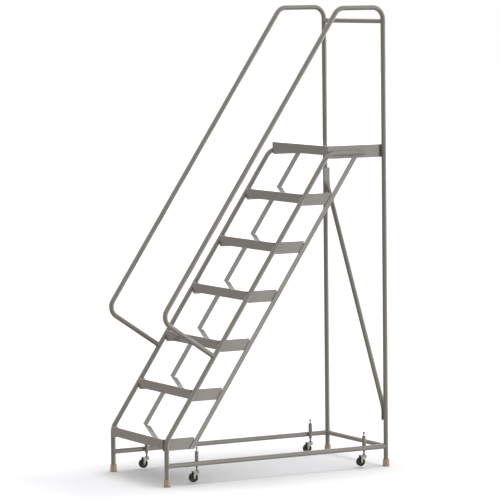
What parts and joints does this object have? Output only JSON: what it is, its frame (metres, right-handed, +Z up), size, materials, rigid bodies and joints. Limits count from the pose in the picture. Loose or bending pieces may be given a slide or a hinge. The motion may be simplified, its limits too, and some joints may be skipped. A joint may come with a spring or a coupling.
{
  "type": "rolling warehouse ladder",
  "caption": "Tubular steel rolling ladder with plain pressed steps, a top platform, side handrails and sprung swivel casters at its base.",
  "frame": {"origin": "on the floor, midway between the four feet", "axes": "+X to the climber's right, +Y towards the rear posts, +Z up"},
  "size_m": [0.6792, 1.3972, 2.5375],
  "materials": {
    "grey_enamel": "gloss warm grey stove enamel",
    "rubber_tip": "tan moulded rubber",
    "zinc_plate": "bright zinc plate",
    "spring_steel": "oiled spring wire",
    "wheel_rubber": "black moulded rubber"
  },
  "bodies": {
    "frame": {"base_crossbar": "grey_enamel", "diagonal_brace": "grey_enamel", "left_base_rail": "grey_enamel", "left_front_caster_housing": "grey_enamel", "left_front_foot": "rubber_tip", "left_front_stringer": "grey_enamel", "left_handrail": "grey_enamel", "left_rear_caster_housing": "grey_enamel", "left_rear_foot": "rubber_tip", "left_rear_stringer": "grey_enamel", "platform": "grey_enamel", "right_base_rail": "grey_enamel", "right_front_caster_housing": "grey_enamel", "right_front_foot": "rubber_tip", "right_front_stringer": "grey_enamel", "right_handrail": "grey_enamel", "right_rear_caster_housing": "grey_enamel", "right_rear_foot": "rubber_tip", "right_rear_stringer": "grey_enamel", "step_1": "grey_enamel", "step_2": "grey_enamel", "step_3": "grey_enamel", "step_4": "grey_enamel", "step_5": "grey_enamel", "step_6": "grey_enamel", "top_crossbar": "grey_enamel"},
    "left_front_stem": {"left_front_caster_stem": "zinc_plate", "left_front_caster_nut": "zinc_plate", "left_front_caster_race": "zinc_plate", "left_front_caster_spring": "spring_steel"},
    "left_front_yoke": {"left_front_caster_yoke": "zinc_plate", "left_front_caster_axle": "zinc_plate"},
    "left_front_wheel": {"left_front_caster_wheel": "wheel_rubber"},
    "left_rear_stem": {"left_rear_caster_stem": "zinc_plate", "left_rear_caster_nut": "zinc_plate", "left_rear_caster_race": "zinc_plate", "left_rear_caster_spring": "spring_steel"},
    "left_rear_yoke": {"left_rear_caster_yoke": "zinc_plate", "left_rear_caster_axle": "zinc_plate"},
    "left_rear_wheel": {"left_rear_caster_wheel": "wheel_rubber"},
    "right_front_stem": {"right_front_caster_stem": "zinc_plate", "right_front_caster_nut": "zinc_plate", "right_front_caster_race": "zinc_plate", "right_front_caster_spring": "spring_steel"},
    "right_front_yoke": {"right_front_caster_yoke": "zinc_plate", "right_front_caster_axle": "zinc_plate"},
    "right_front_wheel": {"right_front_caster_wheel": "wheel_rubber"},
    "right_rear_stem": {"right_rear_caster_stem": "zinc_plate", "right_rear_caster_nut": "zinc_plate", "right_rear_caster_race": "zinc_plate", "right_rear_caster_spring": "spring_steel"},
    "right_rear_yoke": {"right_rear_caster_yoke": "zinc_plate", "right_rear_caster_axle": "zinc_plate"},
    "right_rear_wheel": {"right_rear_caster_wheel": "wheel_rubber"}
  },
  "joints": [
    {"name": "left_front_caster_slide", "type": "slide", "parent": "frame", "child": "left_front_stem", "axis": [0, 0, 1], "range_m": [-0.0137, 0.01], "stiffness_N_per_m": 5400, "deforming": ["left_front_caster_spring"]},
    {"name": "left_front_caster_swivel", "type": "hinge", "parent": "left_front_stem", "child": "left_front_yoke", "pos_m": [-0.2964, -0.4875, 0.069], "axis": [0, 0, 1], "continuous": true},
    {"name": "left_front_wheel_spin", "type": "hinge", "parent": "left_front_yoke", "child": "left_front_wheel", "pos_m": [-0.2964, -0.5095, 0.034], "axis": [1, 0, 0], "continuous": true},
    {"name": "left_rear_caster_slide", "type": "slide", "parent": "frame", "child": "left_rear_stem", "axis": [0, 0, 1], "range_m": [-0.0137, 0.01], "stiffness_N_per_m": 5400, "deforming": ["left_rear_caster_spring"]},
    {"name": "left_rear_caster_swivel", "type": "hinge", "parent": "left_rear_stem", "child": "left_rear_yoke", "pos_m": [-0.2964, 0.5525, 0.069], "axis": [0, 0, 1], "continuous": true},
    {"name": "left_rear_wheel_spin", "type": "hinge", "parent": "left_rear_yoke", "child": "left_rear_wheel", "pos_m": [-0.2964, 0.5305, 0.034], "axis": [1, 0, 0], "continuous": true},
    {"name": "right_front_caster_slide", "type": "slide", "parent": "frame", "child": "right_front_stem", "axis": [0, 0, 1], "range_m": [-0.0137, 0.01], "stiffness_N_per_m": 5400, "deforming": ["right_front_caster_spring"]},
    {"name": "right_front_caster_swivel", "type": "hinge", "parent": "right_front_stem", "child": "right_front_yoke", "pos_m": [0.2964, -0.4875, 0.069], "axis": [0, 0, 1], "continuous": true},
    {"name": "right_front_wheel_spin", "type": "hinge", "parent": "right_front_yoke", "child": "right_front_wheel", "pos_m": [0.2964, -0.5095, 0.034], "axis": [1, 0, 0], "continuous": true},
    {"name": "right_rear_caster_slide", "type": "slide", "parent": "frame", "child": "right_rear_stem", "axis": [0, 0, 1], "range_m": [-0.0137, 0.01], "stiffness_N_per_m": 5400, "deforming": ["right_rear_caster_spring"]},
    {"name": "right_rear_caster_swivel", "type": "hinge", "parent": "right_rear_stem", "child": "right_rear_yoke", "pos_m": [0.2964, 0.5525, 0.069], "axis": [0, 0, 1], "continuous": true},
    {"name": "right_rear_wheel_spin", "type": "hinge", "parent": "right_rear_yoke", "child": "right_rear_wheel", "pos_m": [0.2964, 0.5305, 0.034], "axis": [1, 0, 0], "continuous": true}
  ]
}
